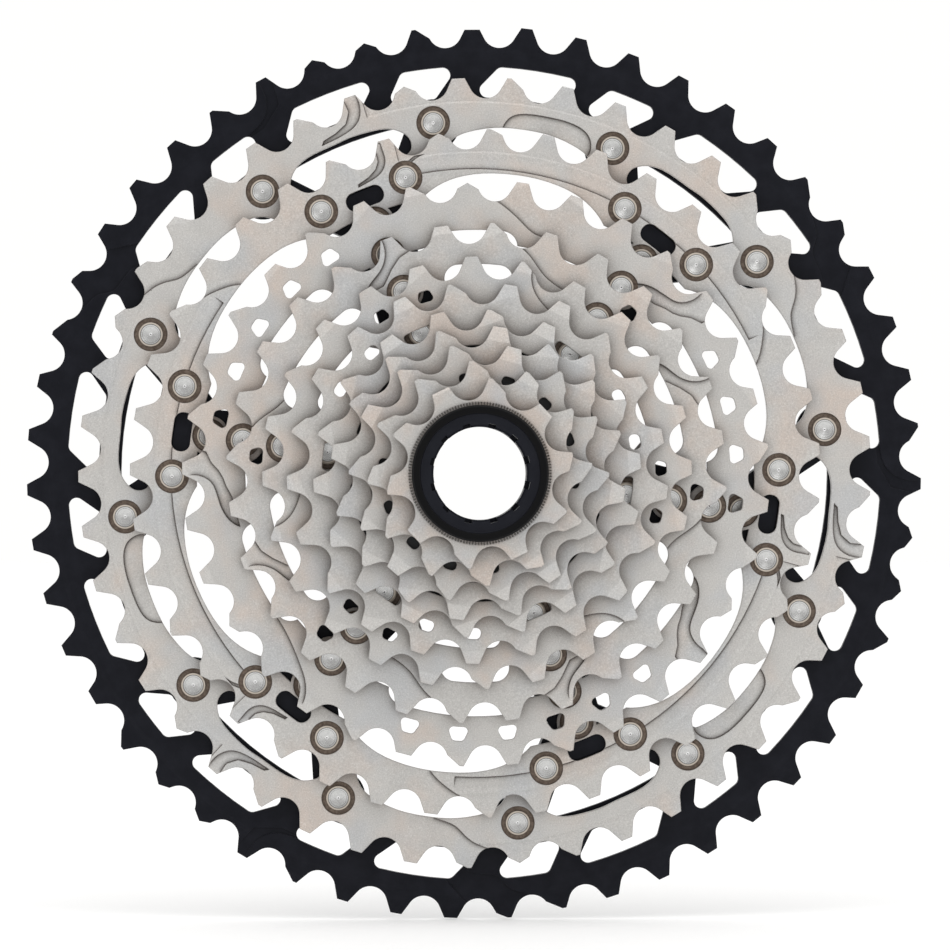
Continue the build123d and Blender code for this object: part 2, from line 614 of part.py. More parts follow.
# ---------------------------------------------------------------- small splined sprockets
back_18 = middle(7) - STEEL / 2
front_18 = middle(7) + STEEL / 2
with BuildPart() as sprocket_18t:
    with BuildSketch(front_plane(back_18)):
        add(toothed_disc(18, 4.3, "nFFNfN"))
        for k in range(6):
            add(span(24.2, 29.2, 4 + 60 * k, 43 + 60 * k, 1.2), mode=Mode.SUBTRACT)
        with spots(PIN_RADIUS, PIN_ANGLES):
            Circle(RIVET_SHANK, mode=Mode.SUBTRACT)
    extrude(amount=STEEL)
    with BuildSketch(*tip_planes(18, 4.3, front_18, [0, 3, 6, 9, 12, 15], 3.4, 20, 0)):
        Rectangle(9, 6, align=(Align.CENTER, Align.MIN))
    extrude(amount=1.5, mode=Mode.SUBTRACT)
    with BuildSketch(*tip_planes(18, 4.3, front_18, [1, 2, 4, 7, 8, 10, 13, 14, 16], 3.2, 18, 24)):
        Rectangle(9, 6, align=(Align.CENTER, Align.MIN))
    extrude(amount=1.5, mode=Mode.SUBTRACT)
    with BuildSketch(SECTION):
        add(bore_profile(back_18, front_18))
    revolve(axis=Axis.Y, mode=Mode.SUBTRACT)
    with BuildSketch(front_plane(back_18)):
        add(spline_grooves())
    extrude(amount=STEEL, mode=Mode.SUBTRACT)
sprocket_18t.part.label = "sprocket_18t"
export_step(sprocket_18t.part, "parts/sprocket_18t.step")

back_16 = middle(8) - STEEL / 2
front_16 = middle(8) + STEEL / 2
with BuildPart() as sprocket_16t:
    with BuildSketch(front_plane(back_16)):
        add(toothed_disc(16, 14, "FFfN"))
        for k in range(6):
            add(span(21.6, 24.7, 6 + 60 * k, 40 + 60 * k, 1.0), mode=Mode.SUBTRACT)
        with spots(PIN_RADIUS, PIN_ANGLES):
            Circle(RIVET_SHANK, mode=Mode.SUBTRACT)
    extrude(amount=STEEL)
    with BuildSketch(*tip_planes(16, 14, front_16, [3, 7, 11, 15], 3.4, 20, 0)):
        Rectangle(9, 6, align=(Align.CENTER, Align.MIN))
    extrude(amount=1.5, mode=Mode.SUBTRACT)
    with BuildSketch(*tip_planes(16, 14, front_16, [1, 5, 9, 13, 2, 10], 3.0, 18, 26)):
        Rectangle(9, 6, align=(Align.CENTER, Align.MIN))
    extrude(amount=1.5, mode=Mode.SUBTRACT)
    with BuildSketch(SECTION):
        add(bore_profile(back_16, front_16))
    revolve(axis=Axis.Y, mode=Mode.SUBTRACT)
    with BuildSketch(front_plane(back_16)):
        add(spline_grooves())
    extrude(amount=STEEL, mode=Mode.SUBTRACT)
sprocket_16t.part.label = "sprocket_16t"
export_step(sprocket_16t.part, "parts/sprocket_16t.step")

back_14 = middle(9) - STEEL / 2
front_14 = middle(9) + STEEL / 2
with BuildPart() as sprocket_14t:
    with BuildSketch(front_plane(back_14)):
        add(toothed_disc(14, 22.8, "FFN"))
        for k in range(14):
            angle = 46.5 + 360 / 14 * k
            add(window(20.6, 22.8, (angle - 4.4, angle + 4.4), (angle - 3.8, angle + 3.8), 0.95),
                mode=Mode.SUBTRACT)
        with spots(PIN_RADIUS, PIN_ANGLES):
            Circle(RIVET_SHANK, mode=Mode.SUBTRACT)
    extrude(amount=STEEL)
    with BuildSketch(*tip_planes(14, 22.8, front_14, [2, 5, 8, 11], 3.4, 20, 0)):
        Rectangle(9, 6, align=(Align.CENTER, Align.MIN))
    extrude(amount=1.5, mode=Mode.SUBTRACT)
    with BuildSketch(*tip_planes(14, 22.8, front_14, [4, 7, 10], 2.6, 18, 26)):
        Rectangle(9, 6, align=(Align.CENTER, Align.MIN))
    extrude(amount=1.5, mode=Mode.SUBTRACT)
    with BuildSketch(SECTION):
        add(bore_profile(back_14, front_14))
    revolve(axis=Axis.Y, mode=Mode.SUBTRACT)
    with BuildSketch(front_plane(back_14)):
        add(spline_grooves())
    extrude(amount=STEEL, mode=Mode.SUBTRACT)
    with BuildSketch(front_plane(front_14)):
        with spots(PIN_RADIUS, PIN_ANGLES):
            Circle(PIN_HEAD + 0.1)
    extrude(amount=-0.6, mode=Mode.SUBTRACT)
sprocket_14t.part.label = "sprocket_14t"
export_step(sprocket_14t.part, "parts/sprocket_14t.step")

back_12 = middle(10) - STEEL / 2
front_12 = middle(10) + STEEL / 2
with BuildPart() as sprocket_12t:
    with BuildSketch(front_plane(back_12)):
        add(toothed_disc(12, 1.3, "FFfF"))
    extrude(amount=STEEL)
    with BuildSketch(front_plane(front_14)):
        Circle(18.2)
    extrude(amount=back_12 - front_14)
    with BuildSketch(*tip_planes(12, 1.3, front_12, [2, 6, 10], 2.8, 20, 0)):
        Rectangle(9, 6, align=(Align.CENTER, Align.MIN))
    extrude(amount=1.5, mode=Mode.SUBTRACT)
    with BuildSketch(SECTION):
        add(bore_profile(front_14, front_12))
    revolve(axis=Axis.Y, mode=Mode.SUBTRACT)
    with BuildSketch(front_plane(front_14)):
        add(spline_grooves())
    extrude(amount=front_12 - front_14, mode=Mode.SUBTRACT)
sprocket_12t.part.label = "sprocket_12t"
export_step(sprocket_12t.part, "parts/sprocket_12t.step")

back_10 = middle(11) - STEEL / 2
front_10 = middle(11) + STEEL / 2
with BuildPart() as sprocket_10t:
    with BuildSketch(front_plane(back_10)):
        add(toothed_disc(10, 7.7, "fSFSf"))
    extrude(amount=STEEL)
    with BuildSketch(front_plane(front_12)):
        Circle(16.3)
    extrude(amount=back_10 - front_12)
    with BuildSketch(front_plane(front_12)):
        Circle(13.9)
    extrude(amount=front_10 - front_12, mode=Mode.SUBTRACT)
    with BuildSketch(*tip_planes(10, 7.7, front_10, [1, 3, 6, 8], 1.6, 24, 0)):
        Rectangle(9, 6, align=(Align.CENTER, Align.MIN))
    extrude(amount=1.5, mode=Mode.SUBTRACT)
    with BuildSketch(front_plane(front_10)):
        with PolarLocations(15.75, 150):
            Rectangle(0.62, 0.32)
    extrude(amount=-0.3, mode=Mode.SUBTRACT)
sprocket_10t.part.label = "sprocket_10t"
export_step(sprocket_10t.part, "parts/sprocket_10t.step")


# ---------------------------------------------------------------- black spacer rings
with BuildPart() as spacer_21_18:
    with BuildSketch(front_plane(front_21)):
        Circle(29.6)
        Circle(15.4, mode=Mode.SUBTRACT)
    extrude(amount=back_18 - front_21)
spacer_21_18.part.label = "spacer_21_18"
export_step(spacer_21_18.part, "parts/spacer_21_18.step")

with BuildPart() as spacer_18_16:
    with BuildSketch(front_plane(front_18)):
        Circle(25.4)
        Circle(15.4, mode=Mode.SUBTRACT)
        with spots(PIN_RADIUS, PIN_ANGLES):
            Circle(RIVET_SHANK, mode=Mode.SUBTRACT)
    extrude(amount=back_16 - front_18)
spacer_18_16.part.label = "spacer_18_16"
export_step(spacer_18_16.part, "parts/spacer_18_16.step")

with BuildPart() as spacer_16_14:
    with BuildSketch(front_plane(front_16)):
        Circle(23.4)
        Circle(15.4, mode=Mode.SUBTRACT)
        with spots(PIN_RADIUS, PIN_ANGLES):
            Circle(RIVET_SHANK, mode=Mode.SUBTRACT)
    extrude(amount=back_14 - front_16)
spacer_16_14.part.label = "spacer_16_14"
export_step(spacer_16_14.part, "parts/spacer_16_14.step")


# ---------------------------------------------------------------- carriers, black alloy
with BuildPart() as large_carrier:
    with BuildSketch(SECTION):
        with BuildLine():
            Polyline((10, 0), (34, 0), (60, -5.6), (74.6, -5.6), (75.3, front_51), (88, front_51),
                     (88, back_45), (70.6, back_45), (70.6, back_39), (57.2, back_39),
                     (57.2, back_33), (49.4, back_33), (49.4, 6.6), (21, 6.6), (21, HUB_LENGTH),
                     (10, HUB_LENGTH), (10, 0))
        make_face()
    revolve(axis=Axis.Y)
    with BuildSketch(front_plane(-8)):
        Circle(21.6)
        for angle in ARMS:
            add(joined_circles((16, angle, 10.5), (42, angle, 7.6)))
            add(joined_circles((42, angle, 7.6), (60, angle, 6.2)))
            add(joined_circles((62, angle, 5.4), (70.3, angle - 8.6, 3.4), (70.3, angle + 8.6, 3.4)))
            add(joined_circles((69.6, angle - 8, 3.6), (R_RIVETS_45, angle - 15.1, 5.6)))
            add(joined_circles((69.6, angle + 8, 3.6), (R_RIVETS_45, angle + 15.1, 5.6)))
    extrude(amount=24, mode=Mode.INTERSECT)
    with BuildSketch(front_plane(back_45 - 0.5)):
        with spots(R_RIVETS_39_OUTER, RIVETS_39):
            Circle(3.1)
    extrude(amount=back_39 - back_45 + 0.5)
    with BuildSketch(front_plane(-8)):
        for angle in ARMS:
            add(joined_circles((31, angle, 4.4), (46, angle, 3.8)))
    extrude(amount=10.6, mode=Mode.SUBTRACT)
    with BuildSketch(front_plane(-8)):
        with spots(R_RIVETS_45, RIVETS_45):
            Circle(RIVET_SHANK)
        with spots(R_RIVETS_39_OUTER, RIVETS_39):
            Circle(RIVET_SHANK)
        with spots(R_RIVETS_39_INNER, ARMS):
            Circle(RIVET_SHANK)
        with spots(R_RIVETS_33, ARMS):
            Circle(RIVET_SHANK)
    extrude(amount=16, mode=Mode.SUBTRACT)
    with BuildSketch(front_plane(-8)):
        with spots(R_RIVETS_33, ARMS):
            Circle(RIVET_HEAD + 0.3)
    extrude(amount=4.6, mode=Mode.SUBTRACT)
    with BuildSketch(SECTION):
        with BuildLine():
            Polyline((0, -0.01), (BORE_RADIUS, -0.01), (BORE_RADIUS, HUB_LENGTH - BORE_CHAMFER),
                     (BORE_RADIUS + BORE_CHAMFER, HUB_LENGTH + 0.01), (0, HUB_LENGTH + 0.01),
                     (0, -0.01))
        make_face()
    revolve(axis=Axis.Y, mode=Mode.SUBTRACT)
    with BuildSketch(front_plane(0)):
        add(spline_grooves())
    extrude(amount=HUB_LENGTH, mode=Mode.SUBTRACT)
large_carrier.part.label = "large_carrier"
export_step(large_carrier.part, "parts/large_carrier.step")

with BuildPart() as small_carrier:
    with BuildSketch(SECTION):
        with BuildLine():
            Polyline((10, HUB_LENGTH), (21.5, HUB_LENGTH), (21.5, 6.9), (49.3, 6.9),
                     (49.3, back_28), (39.4, back_28), (39.4, back_24), (30.2, back_24),
                     (30.2, SMALL_HUB_FRONT), (10, SMALL_HUB_FRONT), (10, HUB_LENGTH))
        make_face()
    revolve(axis=Axis.Y)
    with BuildSketch(front_plane(6)):
        Circle(21.5)
        for angle in ARMS:
            add(joined_circles((16, angle, 10.5), (34.6, angle, 6.5)))
            add(joined_circles((34.6, angle, 6.5), (45, angle, 5)))
    extrude(amount=12, mode=Mode.INTERSECT)
    with BuildSketch(front_plane(6)):
        with spots(R_RIVETS_28, ARMS):
            Circle(RIVET_SHANK)
        with spots(R_RIVETS_24, ARMS):
            Circle(RIVET_SHANK)
        with spots(R_RIVETS_21, ARMS):
            Circle(RIVET_SHANK)
    extrude(amount=12, mode=Mode.SUBTRACT)
    with BuildSketch(front_plane(6)):
        with spots(R_RIVETS_28, ARMS):
            Circle(RIVET_HEAD + 0.1)
        with spots(R_RIVETS_24, ARMS):
            Circle(RIVET_HEAD + 0.1)
        with spots(R_RIVETS_21, ARMS):
            Circle(RIVET_HEAD + 0.1)
    extrude(amount=1.7, mode=Mode.SUBTRACT)
    with BuildSketch(SECTION):
        add(bore_profile(HUB_LENGTH, SMALL_HUB_FRONT))
    revolve(axis=Axis.Y, mode=Mode.SUBTRACT)
    with BuildSketch(front_plane(HUB_LENGTH)):
        add(spline_grooves())
    extrude(amount=SMALL_HUB_FRONT - HUB_LENGTH, mode=Mode.SUBTRACT)
small_carrier.part.label = "small_carrier"
export_step(small_carrier.part, "parts/small_carrier.step")


# ---------------------------------------------------------------- rivets and pins
def rivets(name, radius, angles, front, seat, back_seat, back_head, proud):
    """Row of rivets. Each has a dished front head in its pocket and a flat head behind."""
    top = front + proud
    with BuildPart() as row:
        with BuildSketch(front_plane(back_seat)):
            with spots(radius, angles):
                Circle(RIVET_SHANK - SHANK_PLAY)
        extrude(amount=seat - back_seat)
        with BuildSketch(front_plane(seat)):
            with spots(radius, angles):
                Circle(RIVET_HEAD)
        extrude(amount=top - seat)
        with BuildSketch(front_plane(back_seat)):
            with spots(radius, angles):
                Circle(RIVET_HEAD)
        extrude(amount=-back_head)
        with BuildSketch(front_plane(top)):
            with spots(radius, angles):
                Circle(DISH_RADIUS)
        extrude(amount=-0.08, mode=Mode.SUBTRACT)
        places = [polar(radius, angle) for angle in angles]
        centre = top - 0.08 - DISH_DEPTH + DISH_CURVE
        with Locations(*[(x, -centre, z) for x, z in places]):
            Sphere(DISH_CURVE, mode=Mode.SUBTRACT)
        dimples = [Plane(origin=(x, -(top - 0.3), z), x_dir=(1, 0, 0), z_dir=(0, -1, 0))
                   for x, z in places]
        with Locations(*dimples):
            Cone(0.1, 0.42, 0.3, align=(Align.CENTER, Align.CENTER, Align.CENTER), mode=Mode.SUBTRACT)
    row.part.label = name
    export_step(row.part, "parts/" + name + ".step")


def pocket_floor(front):
    return front - RIVET_POCKET_DEPTH


rivets("rivets_45t_51t", R_RIVETS_45, RIVETS_45, front_45, pocket_floor(front_45), back_51, 0.8, 0.2)
rivets("rivets_39t_outer", R_RIVETS_39_OUTER, RIVETS_39, front_39, pocket_floor(front_39), -5.6, 0.8,
       0.2)
rivets("rivets_39t_inner", R_RIVETS_39_INNER, ARMS, front_39, pocket_floor(front_39), -5.6, 0.8, 0.2)
rivets("rivets_33t", R_RIVETS_33, ARMS, front_33, pocket_floor(front_33), -3.4, 0.8, 0.2)
rivets("rivets_28t", R_RIVETS_28, ARMS, front_28, pocket_floor(front_28), 7.7, 0.7, 0.2)
rivets("rivets_24t", R_RIVETS_24, ARMS, front_24, pocket_floor(front_24), 7.7, 0.7, 0.2)
rivets("rivets_21t", R_RIVETS_21, ARMS, front_21, pocket_floor(front_21), 7.7, 0.7, -0.05)

with BuildPart() as sprocket_pins:
    with BuildSketch(front_plane(back_18 + 0.1)):
        with spots(PIN_RADIUS, PIN_ANGLES):
            Circle(RIVET_SHANK - SHANK_PLAY)
    extrude(amount=front_14 - 0.6 - back_18 - 0.1)
    with BuildSketch(front_plane(front_14 - 0.6)):
        with spots(PIN_RADIUS, PIN_ANGLES):
            Circle(PIN_HEAD)
    extrude(amount=0.5)
sprocket_pins.part.label = "sprocket_pins"
export_step(sprocket_pins.part, "parts/sprocket_pins.step")

# ---------------------------------------------------------------- lockring and its washer
WASHER_FRONT = front_10 + 0.5
RIM_FRONT = WASHER_FRONT + 2.0
SHANK_BACK = 28.0
THREAD_PITCH = 1.0
with BuildPart() as lockring_washer:
    with BuildSketch(front_plane(front_10)):
        Circle(15.2)
        Circle(13.75, mode=Mode.SUBTRACT)
    extrude(amount=0.5)
lockring_washer.part.label = "lockring_washer"
export_step(lockring_washer.part, "parts/lockring_washer.step")

with BuildPart() as lockring:
    with BuildSketch(SECTION):
        with BuildLine():
            Polyline((LOCKRING_HOLE, SHANK_BACK + 0.3), (LOCKRING_HOLE + 0.3, SHANK_BACK),
                     (LOCKRING_SHANK - 0.6, SHANK_BACK), (LOCKRING_SHANK, SHANK_BACK + 0.6),
                     (LOCKRING_SHANK, WASHER_FRONT), (LOCKRING_FLANGE, WASHER_FRONT),
                     (LOCKRING_FLANGE, RIM_FRONT - 0.5), (LOCKRING_FLANGE - 0.4, RIM_FRONT),
                     (13.6, RIM_FRONT), (13.3, RIM_FRONT - 0.45), (11.4, RIM_FRONT - 0.5),
                     (LOCKRING_HOLE + 0.5, RIM_FRONT - 0.6), (LOCKRING_HOLE, RIM_FRONT - 1.2),
                     (LOCKRING_HOLE, SHANK_BACK + 0.3))
        make_face()
    revolve(axis=Axis.Y)
    with BuildSketch(SECTION):
        for turn in range(5):
            station = SHANK_BACK + 1.6 + turn * THREAD_PITCH
            with BuildLine():
                Polyline((LOCKRING_SHANK + 0.1, station - 0.22), (LOCKRING_SHANK - 0.35, station),
                         (LOCKRING_SHANK + 0.1, station + 0.22),
                         (LOCKRING_SHANK + 0.1, station - 0.22))
            make_face()
    revolve(axis=Axis.Y, mode=Mode.SUBTRACT)
    with BuildSketch(front_plane(RIM_FRONT)):
        with PolarLocations(LOCKRING_HOLE + 0.2, 12, start_angle=16):
            Rectangle(1.5, 1.7)
    extrude(amount=-7, mode=Mode.SUBTRACT)
lockring.part.label = "lockring"
export_step(lockring.part, "parts/lockring.step")
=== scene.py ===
import math

import bpy
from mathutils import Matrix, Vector


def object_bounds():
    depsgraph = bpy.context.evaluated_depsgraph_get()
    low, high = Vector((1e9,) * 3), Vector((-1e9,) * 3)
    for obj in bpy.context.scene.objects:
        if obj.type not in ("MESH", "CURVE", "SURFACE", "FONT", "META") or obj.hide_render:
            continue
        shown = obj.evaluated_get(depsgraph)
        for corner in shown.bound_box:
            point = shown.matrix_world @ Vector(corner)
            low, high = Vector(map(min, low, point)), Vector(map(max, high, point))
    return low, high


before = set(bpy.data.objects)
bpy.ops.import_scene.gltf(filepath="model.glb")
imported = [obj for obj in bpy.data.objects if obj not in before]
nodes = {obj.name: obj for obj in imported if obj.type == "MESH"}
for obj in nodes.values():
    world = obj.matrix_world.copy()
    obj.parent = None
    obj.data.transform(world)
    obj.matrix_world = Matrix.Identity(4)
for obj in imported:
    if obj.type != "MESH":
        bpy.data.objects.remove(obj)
cad_low, cad_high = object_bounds()

STEEL_ROWS = [45, 39, 33, 28, 24, 21, 18, 16, 14, 12, 10]
# Rivet circles of each steel row: radius in metres, then the angle of one rivet and the
# spacing, both in degrees.
RIVET_CIRCLES = {
    45: [(0.0819, 36.9, 60), (0.0819, 67.1, 60)],
    39: [(0.0623, 52, 60), (0.0703, 43.4, 60), (0.0703, 60.6, 60)],
    33: [(0.0544, 52, 60)],
    28: [(0.0450, 52, 60)],
    24: [(0.0346, 52, 60)],
    21: [(0.0255, 52, 60)],
}
RIVET_ROWS = {
    "45t_51t": RIVET_CIRCLES[45],
    "39t_outer": RIVET_CIRCLES[39][1:],
    "39t_inner": RIVET_CIRCLES[39][:1],
    "33t": RIVET_CIRCLES[33],
    "28t": RIVET_CIRCLES[28],
    "24t": RIVET_CIRCLES[24],
    "21t": RIVET_CIRCLES[21],
}
RING_SCALE_24 = 0.89

# Distances in metres: the brown ring round a rivet head, the marks on the head itself (a painted
# shade line along the dish edge, a fainter dark ring, a painted highlight and a dark dot at the
# centre), and the circle where the lockring's flat face meets its outer band, which is darkened as
# painted shade.
RING_OUTSIDE = (0.00397, 0.00383)
RING_INSIDE = (0.0024, 0.0027)
HEAD_RIM = (0.00236, 0.00250)
HEAD_OUTLINE = (0.00272, 0.00281)
HEAD_LINES = ((0.00234, 0.00013, 0.88), (0.00192, 0.00010, 0.40))
CENTRE_GLINT = (0.00048, 0.00022)
CENTRE_DOT = (0.00017, 0.00009)
FLAT_FACE = (0.01355, 0.01340)

# Reach in metres of the two painted shades on the steel: the painted shadow under the row in front,
# and the painted shade in corners.
SHADE_REACH = 0.0052
CORNER_REACH = 0.0013

# Lamps: place and target in metres, width and height in metres, power in watts.
LAMPS = {
    "key": ((-0.9, -1.0, 1.1), (0, 0, 0), 1.0, 0.8, 1.9),
    "fill": ((1.2, -0.9, 0.5), (0, 0, 0), 0.9, 0.9, 0.8),
    "top": ((0.1, -0.5, 1.2), (0, 0, 0.05), 0.9, 0.6, 3.0),
    "glint": ((0.34, -1.25, 0.40), (0, 0, 0), 0.30, 0.30, 0.5),
}
FLOOR_HALF = 4
FLOOR_GLOW = 0.31
CAMERA_PLACE = (-0.032, -1.131, 0.003)
CAMERA_AIM = (0, 0.00505, -0.00047)
CAMERA_LENS = 184.7


def srgb(red, green, blue):
    """Linear colour from 0 to 255 screen values."""
    def linear(value):
        value /= 255
        return value / 12.92 if value <= 0.04045 else ((value + 0.055) / 1.055) ** 2.4
    return (linear(red), linear(green), linear(blue), 1)


class Tree:
    """Short forms for the nodes of one material."""

    def __init__(self, name):
        self.material = bpy.data.materials.new(name)
        self.material.use_nodes = True
        self.nodes = self.material.node_tree.nodes
        self.links = self.material.node_tree.links
        self.shader = self.nodes["Principled BSDF"]
        self.place = self.nodes.new("ShaderNodeTexCoord").outputs["Object"]

    def put(self, value, socket):
        if isinstance(value, bpy.types.NodeSocket):
            self.links.new(value, socket)
        else:
            socket.default_value = value

    def math(self, operation, first, second=0.0):
        node = self.nodes.new("ShaderNodeMath")
        node.operation = operation
        self.put(first, node.inputs[0])
        self.put(second, node.inputs[1])
        return node.outputs[0]

    def fit(self, value, low, high, new_low=0.0, new_high=1.0):
        node = self.nodes.new("ShaderNodeMapRange")
        node.interpolation_type = "SMOOTHSTEP"
        self.put(value, node.inputs["Value"])
        self.put(low, node.inputs["From Min"])
        self.put(high, node.inputs["From Max"])
        self.put(new_low, node.inputs["To Min"])
        self.put(new_high, node.inputs["To Max"])
        return node.outputs[0]

    def mix(self, factor, first, second):
        node = self.nodes.new("ShaderNodeMix")
        node.data_type = "RGBA"
        self.put(factor, node.inputs[0])
        self.put(first, node.inputs[6])
        self.put(second, node.inputs[7])
        return node.outputs[2]

    def noise(self, scale, detail=2.0, roughness=0.5):
        node = self.nodes.new("ShaderNodeTexNoise")
        node.inputs["Scale"].default_value = scale
        node.inputs["Detail"].default_value = detail
        node.inputs["Roughness"].default_value = roughness
        self.links.new(self.place, node.inputs["Vector"])
        return node.outputs["Fac"]

    def bump(self, height, strength, distance, normal=None):
        node = self.nodes.new("ShaderNodeBump")
        node.inputs["Strength"].default_value = strength
        node.inputs["Distance"].default_value = distance
        self.put(height, node.inputs["Height"])
        if normal is not None:
            self.links.new(normal, node.inputs["Normal"])
        return node.outputs[0]

    def rounded_normal(self, radius):
        node = self.nodes.new("ShaderNodeBevel")
        node.samples = 4
        node.inputs["Radius"].default_value = radius
        return node.outputs[0]

    def edges(self, radius):
        """1 on edges, 0 on flats."""
        rounded = self.rounded_normal(radius)
        true = self.nodes.new("ShaderNodeNewGeometry").outputs["True Normal"]
        node = self.nodes.new("ShaderNodeVectorMath")
        node.operation = "DOT_PRODUCT"
        self.links.new(rounded, node.inputs[0])
        self.links.new(true, node.inputs[1])
        return rounded, self.fit(node.outputs["Value"], 0.97, 0.80)

    def crevices(self, distance):
        """1 in corners and gaps, 0 in the open."""
        node = self.nodes.new("ShaderNodeAmbientOcclusion")
        node.samples = 5
        node.inputs["Distance"].default_value = distance
        return self.math("SUBTRACT", 1.0, node.outputs["AO"])

    def polar(self):
        """Radius from the spin axis in metres and angle in radians, seen from the lockring."""
        node = self.nodes.new("ShaderNodeSeparateXYZ")
        self.links.new(self.place, node.inputs[0])
        x, z = node.outputs["X"], node.outputs["Z"]
        radius = self.math("SQRT", self.math("ADD", self.math("MULTIPLY", x, x),
                                             self.math("MULTIPLY", z, z)))
        return radius, self.math("ARCTAN2", z, x)

    def near_rivet(self, radius, angle, circle):
        """Distance in metres from the nearest rivet of one circle."""
        ring, start, spacing = circle
        step = math.radians(spacing)
        turns = self.math("DIVIDE", self.math("SUBTRACT", angle, math.radians(start)), step)
        part = self.math("SUBTRACT", turns, self.math("ROUND", turns))
        away = self.math("MULTIPLY", part, step)
        outward = self.math("MULTIPLY", radius, self.math("COSINE", away))
        along = self.math("SUBTRACT", outward, ring)
        across = self.math("MULTIPLY", radius, self.math("SINE", away))
        return self.math("SQRT", self.math("ADD", self.math("MULTIPLY", along, along),
                                           self.math("MULTIPLY", across, across)))

    def finish(self, colour, roughness, metallic, normal):
        self.put(colour, self.shader.inputs["Base Color"])
        self.put(roughness, self.shader.inputs["Roughness"])
        self.put(metallic, self.shader.inputs["Metallic"])
        self.put(normal, self.shader.inputs["Normal"])
        return self.material


def satin_steel(name, circles, tint, painted_shade):
    """Nickel-plated, blasted sheet steel: patchy warm grey, fine grain, painted shade under the row
    in front and in corners, painted highlight on open edges, painted dark line along the edges.
    """
    tree = Tree(name)
    beige = tree.fit(tree.noise(38 + tint, 3, 0.6), 0.46, 0.66)
    cool = tree.fit(tree.noise(61 + tint, 2, 0.5), 0.48, 0.68)
    blotches = tree.fit(tree.noise(210 + tint, 4, 0.65), 0.35, 0.7)
    grain = tree.noise(3200, 3, 0.7)
    colour = tree.mix(tree.math("MULTIPLY", beige, 0.95), (0.575, 0.560, 0.538, 1),
                      (0.620, 0.535, 0.475, 1))
    colour = tree.mix(tree.math("MULTIPLY", cool, 0.55), colour, (0.505, 0.525, 0.550, 1))
    colour = tree.mix(tree.math("MULTIPLY", blotches, 0.30), colour, (0.470, 0.462, 0.450, 1))
    colour = tree.mix(tree.fit(grain, 0.50, 0.70, 0.0, 0.42), colour, (0.84, 0.83, 0.81, 1))
    colour = tree.mix(tree.fit(grain, 0.50, 0.30, 0.0, 0.36), colour, (0.30, 0.29, 0.28, 1))
    rounded, edge = tree.edges(0.00042)
    # Painted shadow: the steel turns dark brown under the row in front.
    under = tree.fit(tree.crevices(SHADE_REACH), 0.10, 0.54)
    colour = tree.mix(tree.math("MULTIPLY", under, 0.74 * painted_shade), colour, (0.150, 0.125, 0.108, 1))
    # Painted shade: dark brown lines in corners and at the foot of steps.
    corner = tree.crevices(CORNER_REACH)
    dark = tree.fit(corner, 0.07, 0.34)
    colour = tree.mix(tree.math("MULTIPLY", dark, 0.95 * painted_shade), colour, (0.050, 0.037, 0.030, 1))
    # Painted highlight: open edges are lightened, but not in corners.
    painted_edge_highlight = tree.math("MULTIPLY", edge, tree.fit(corner, 0.10, 0.03))
    colour = tree.mix(tree.math("MULTIPLY", painted_edge_highlight, 0.55), colour, (0.92, 0.90, 0.88, 1))
    # Painted shade: a dark brown line along the very edges.
    rim = tree.math("MULTIPLY", tree.fit(edge, 0.72, 1.0), 0.72)
    colour = tree.mix(rim, colour, (0.085, 0.065, 0.052, 1))
    if circles:
        radius, angle = tree.polar()
        near = tree.near_rivet(radius, angle, circles[0])
        for circle in circles[1:]:
            near = tree.math("MINIMUM", near, tree.near_rivet(radius, angle, circle))
        ring = tree.math("MULTIPLY", tree.fit(near, *RING_OUTSIDE), tree.fit(near, *RING_INSIDE))
        brown = tree.mix(tree.fit(tree.noise(1500, 3, 0.6), 0.35, 0.7), srgb(98, 84, 74),
                         srgb(126, 112, 100))
        # Painted shade: the brown ring round each rivet darkens in corners.
        brown = tree.mix(tree.fit(corner, 0.25, 0.75, 0.0, 0.75), brown, srgb(48, 38, 32))
        colour = tree.mix(ring, colour, brown)
    rough = tree.fit(grain, 0.25, 0.75, 0.40, 0.54)
    return tree.finish(colour, rough, 0.55, tree.bump(grain, 0.16, 0.00005, rounded))


def black_alloy(name, base, sheen, shine):
    """Anodised alloy: near black with a cool cast, faint mottling, and a painted highlight on the
    edges.
    """
    tree = Tree(name)
    mottle = tree.fit(tree.noise(220, 4, 0.6), 0.3, 0.75)
    grain = tree.noise(3000, 2, 0.6)
    colour = tree.mix(mottle, base, sheen)
    rounded, edge = tree.edges(0.00025)
    # Painted highlight: edges are lightened.
    colour = tree.mix(tree.math("MULTIPLY", edge, 0.30), colour, (0.035, 0.037, 0.045, 1))
    rough = tree.fit(grain, 0.25, 0.75, shine - 0.05, shine + 0.08)
    tree.shader.inputs["Specular IOR Level"].default_value = 0.13
    return tree.finish(colour, rough, 0.0, tree.bump(grain, 0.12, 0.00004, rounded))


def lockring_black():
    """Anodised lockring: outer band darkened to deep black as painted shade, a slightly paler flat
    inner face, and a painted highlight on the edges.
    """
    tree = Tree("black_lockring")
    radius, angle = tree.polar()
    inner = tree.fit(radius, *FLAT_FACE)
    mottle = tree.fit(tree.noise(260, 4, 0.6), 0.3, 0.75)
    face = tree.mix(mottle, (0.0075, 0.0082, 0.0125, 1), (0.0105, 0.0115, 0.0165, 1))
    # Painted shade: the outer band, outside the flat face, is near black.
    colour = tree.mix(inner, (0.0016, 0.0016, 0.0020, 1), face)
    rounded, edge = tree.edges(0.00022)
    # Painted highlight: edges are lightened.
    colour = tree.mix(tree.math("MULTIPLY", edge, 0.25), colour, (0.040, 0.042, 0.050, 1))
    grain = tree.noise(3000, 2, 0.6)
    rough = tree.fit(grain, 0.25, 0.75, 0.36, 0.50)
    tree.shader.inputs["Specular IOR Level"].default_value = 0.12
    return tree.finish(colour, rough, 0.0, tree.bump(grain, 0.10, 0.00004, rounded))


